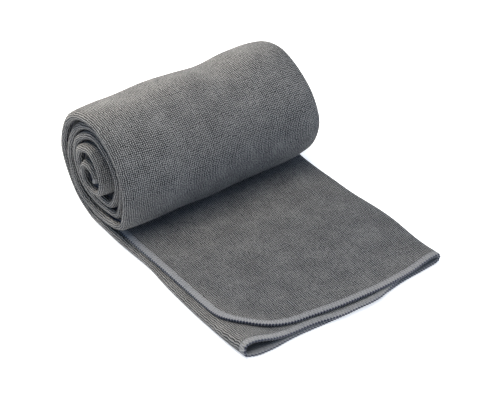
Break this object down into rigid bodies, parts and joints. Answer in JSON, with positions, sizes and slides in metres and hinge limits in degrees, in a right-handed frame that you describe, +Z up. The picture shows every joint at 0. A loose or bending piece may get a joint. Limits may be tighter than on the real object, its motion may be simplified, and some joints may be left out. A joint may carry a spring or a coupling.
{
  "type": "quick dry towel",
  "caption": "Microfibre travel towel folded in three and rolled up, with its free end laid out, overlocked edges and a top corner that turns back.",
  "frame": {"origin": "centre of the overall box, on the surface that the towel lies on", "axes": "+X along the roll from its left end to its right, -Y from the roll to the free end, +Z up"},
  "size_m": [0.17, 0.228, 0.09],
  "materials": {
    "towel_cloth": "matte",
    "hem_thread": "matte"
  },
  "bodies": {
    "roll": {"roll_base": "towel_cloth", "outer_turn": "towel_cloth", "second_turn": "towel_cloth", "third_turn": "towel_cloth", "fourth_turn": "towel_cloth", "core_turn": "towel_cloth", "core_fold": "towel_cloth", "roll_left_fold": "towel_cloth", "roll_right_fold": "towel_cloth"},
    "tail": {"tail_bottom_layer": "towel_cloth", "tail_middle_layer": "towel_cloth", "tail_top_layer": "towel_cloth", "tail_side_hem": "hem_thread", "tail_hidden_hem": "hem_thread", "tail_left_fold": "towel_cloth", "tail_right_fold": "towel_cloth"},
    "tail_end": {"end_bottom_layer": "towel_cloth", "end_middle_layer": "towel_cloth", "end_top_layer": "towel_cloth", "end_bottom_hem": "hem_thread", "end_middle_hem": "hem_thread", "end_top_hem": "hem_thread", "end_left_fold": "towel_cloth", "end_right_fold": "towel_cloth"},
    "corner": {"corner_flap": "towel_cloth", "corner_hem": "hem_thread"}
  },
  "joints": [
    {"name": "tail_lift", "type": "hinge", "parent": "roll", "child": "tail", "pos_m": [0, 0.044, 0.0064], "axis": [-1, 0, 0], "range_deg": [0, 30]},
    {"name": "tail_bend", "type": "hinge", "parent": "tail", "child": "tail_end", "pos_m": [0, -0.017, 0.0064], "axis": [-1, 0, 0], "range_deg": [0, 60]},
    {"name": "corner_fold", "type": "hinge", "parent": "tail_end", "child": "corner", "pos_m": [-0.079, -0.044, 0.0064], "axis": [-0.7722, 0.6354, 0], "range_deg": [0, 140]}
  ]
}
